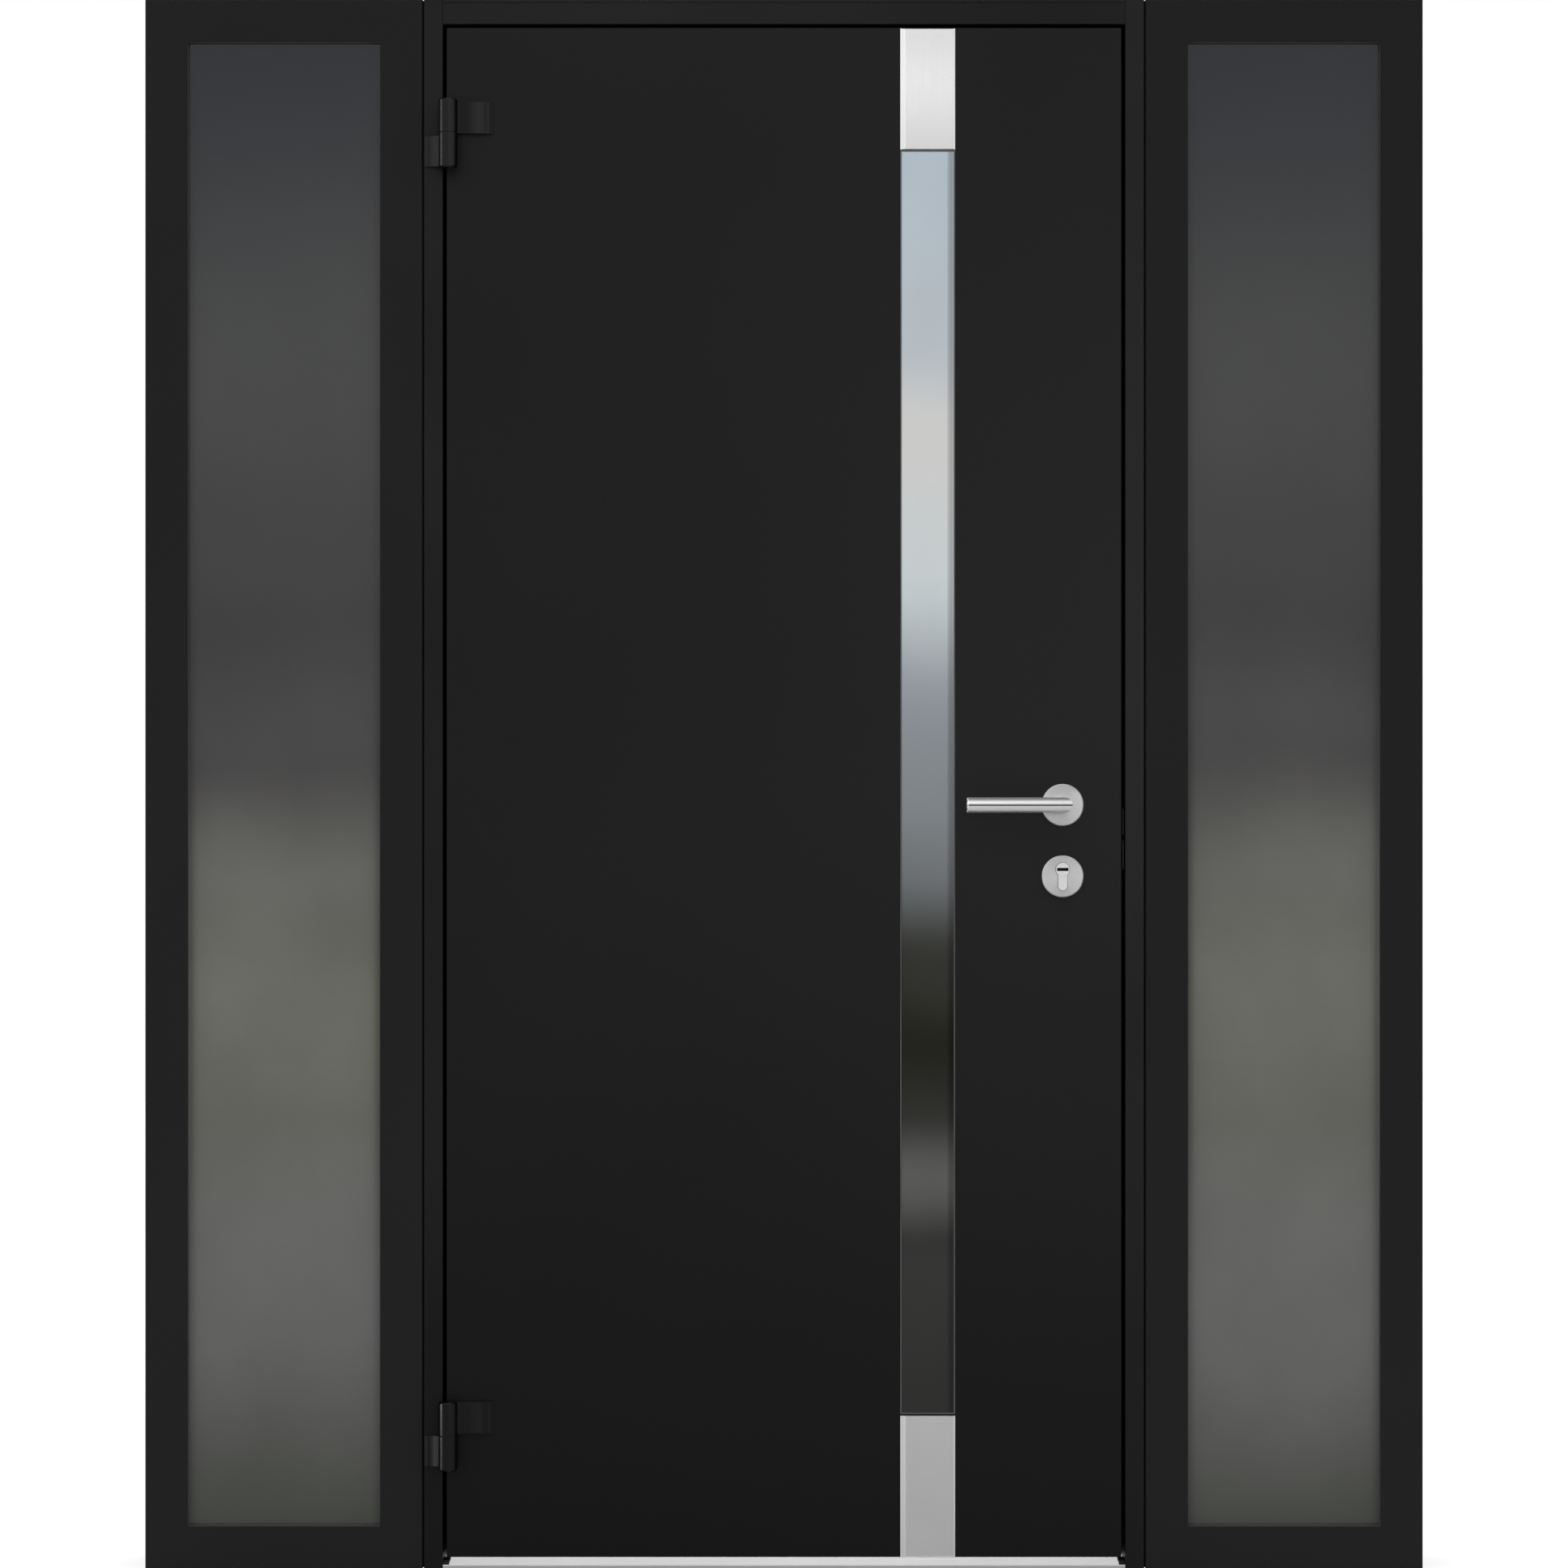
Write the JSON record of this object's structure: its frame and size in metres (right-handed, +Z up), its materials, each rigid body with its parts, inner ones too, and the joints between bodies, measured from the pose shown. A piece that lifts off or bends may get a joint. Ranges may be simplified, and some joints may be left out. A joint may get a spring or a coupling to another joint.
{
  "type": "entrance door with sidelights",
  "caption": "Flush black steel entrance door with a glazed vertical strip, round bar lever and lift-off hinges, between fixed glazed sidelights in slim frames.",
  "frame": {"origin": "on the underside of the frame, in the middle of the door's width and of the frame's depth", "axes": "+Z up, +X to the right seen from outside, +Y inwards through the doorway"},
  "size_m": [1.685, 0.19, 2.07],
  "materials": {
    "black_frame": "satin black powder coat with a fine texture",
    "black_leaf": "satin black powder coat on smooth sheet steel",
    "hinge_black": "satin black coat on cast hinges",
    "stainless": "fine brushed stainless steel",
    "stainless_satin": "satin stainless steel",
    "lock_steel": "zinc plated and brushed steel",
    "pin_steel": "ground steel",
    "threshold_metal": "mill finish aluminium",
    "seal_rubber": "matt black seal",
    "side_glass": "dark tinted sealed unit",
    "strip_glass": "reflective sealed unit",
    "spacer_metal": "black coated spacer bar",
    "foam_core": "rigid foam, closed in by the skins",
    "edge_plastic": "black plastic band"
  },
  "bodies": {
    "frame": {"left_jamb": "black_frame", "head": "black_frame", "right_jamb": "black_frame", "strike_plate": "lock_steel", "threshold": "threshold_metal", "threshold_end_blocks": "seal_rubber", "frame_seal": "seal_rubber", "threshold_seal": "seal_rubber", "joint_seals": "seal_rubber", "left_sidelight_inner_stile": "black_frame", "left_sidelight_outer_stile": "black_frame", "left_sidelight_head": "black_frame", "left_sidelight_sill": "black_frame", "left_side_glass": "side_glass", "left_glass_gaskets": "seal_rubber", "left_glazing_bead": "black_frame", "right_sidelight_inner_stile": "black_frame", "right_sidelight_outer_stile": "black_frame", "right_sidelight_head": "black_frame", "right_sidelight_sill": "black_frame", "right_side_glass": "side_glass", "right_glass_gaskets": "seal_rubber", "right_glazing_bead": "black_frame", "side_glass_spacers": "spacer_metal", "upper_hinge_frame_half": "hinge_black", "lower_hinge_frame_half": "hinge_black", "hinge_pins": "pin_steel"},
    "leaf": {"outer_skin": "black_leaf", "inner_skin": "black_leaf", "edge_band": "edge_plastic", "leaf_core": "foam_core", "strip_glass": "strip_glass", "strip_spacers": "spacer_metal", "outer_strip_trim": "stainless_satin", "inner_strip_trim": "stainless_satin", "outer_top_insert": "stainless", "outer_bottom_insert": "stainless", "inner_inserts": "stainless", "upper_hinge_leaf_half": "hinge_black", "lower_hinge_leaf_half": "hinge_black", "lock_forend": "lock_steel", "lock_case": "lock_steel", "lock_bolts": "lock_steel", "outer_lever_rose": "stainless_satin", "outer_cylinder_rose": "stainless_satin", "inner_roses": "stainless_satin", "lock_cylinder": "lock_steel"},
    "lever_set": {"outer_lever": "stainless_satin", "inner_lever": "stainless_satin", "lever_spindle": "pin_steel"},
    "key_plug_body": {"key_plug": "lock_steel"}
  },
  "joints": [
    {"name": "door_swing", "type": "hinge", "parent": "frame", "child": "leaf", "pos_m": [-0.442, -0.068, 1.035], "axis": [0, 0, -1], "range_deg": [0, 120]},
    {"name": "lever_turn", "type": "hinge", "parent": "leaf", "child": "lever_set", "pos_m": [0.367, -0.015, 1.0075], "axis": [0, -1, 0], "range_deg": [0, 45], "stiffness_Nm_per_rad": 1.6, "springref_deg": -20.05},
    {"name": "key_turn", "type": "hinge", "parent": "leaf", "child": "key_plug_body", "pos_m": [0.367, -0.06, 0.9225], "axis": [0, -1, 0], "continuous": true}
  ]
}
